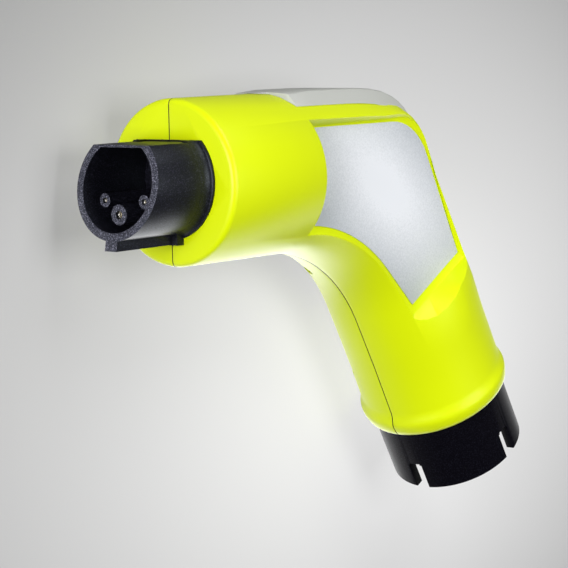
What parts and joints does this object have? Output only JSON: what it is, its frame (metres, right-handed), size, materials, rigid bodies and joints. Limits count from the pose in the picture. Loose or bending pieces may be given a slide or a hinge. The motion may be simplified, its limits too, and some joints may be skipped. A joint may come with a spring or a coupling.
{
  "type": "charge simulation plug",
  "caption": "Hand-held dummy charging plug: round nozzle with signal contacts, pistol housing with recessed side panels, and a slotted tail collar.",
  "frame": {"origin": "on the barrel's axis, in the plane of its front face", "axes": "+X along the barrel axis out of the nozzle, +Z square to the split plane towards the visible side panel, +Y towards the handle's side. The plug lies on its side and rests on the line of the barrel and on the handle's rim."},
  "size_m": [0.2605, 0.1896, 0.0706],
  "materials": {
    "yellow_shell": "smooth moulded lime yellow, satin to glossy",
    "silver_foil": "silver-grey printed film, satin",
    "grey_strip": "silver-grey film with a fine grain",
    "black_nozzle": "black, fine texture",
    "black_collar": "black, satin",
    "contact_metal": "machined",
    "screw_steel": "zinc plated",
    "grey_inner": "plain",
    "black_inner": "plain",
    "board_green": "board lacquer",
    "resistor_body": "lacquered",
    "terminal_green": "plain",
    "wire_green": "soft sheath",
    "wire_black": "soft sheath",
    "wire_white": "soft sheath"
  },
  "bodies": {
    "root": {"housing_left": "yellow_shell", "housing_right": "yellow_shell", "panel_foil_left": "silver_foil", "panel_foil_right": "silver_foil", "spine_strip": "grey_strip", "nozzle_shroud": "black_nozzle", "contact_carrier": "black_nozzle", "contact_pe": "contact_metal", "contact_cp": "contact_metal", "contact_pp": "contact_metal", "contact_retainer": "grey_inner", "retainer_screws": "screw_steel", "circuit_board": "board_green", "board_frame": "grey_inner", "board_screws": "screw_steel", "resistors": "resistor_body", "diode": "black_inner", "terminal_block": "terminal_green", "terminal_screws": "screw_steel", "wire_pe": "wire_green", "wire_cp": "wire_black", "wire_pp": "wire_white", "tail_collar": "black_collar", "tail_plate": "black_inner", "tail_ring": "screw_steel", "housing_screws": "screw_steel", "thread_inserts": "contact_metal"}
  },
  "joints": []
}
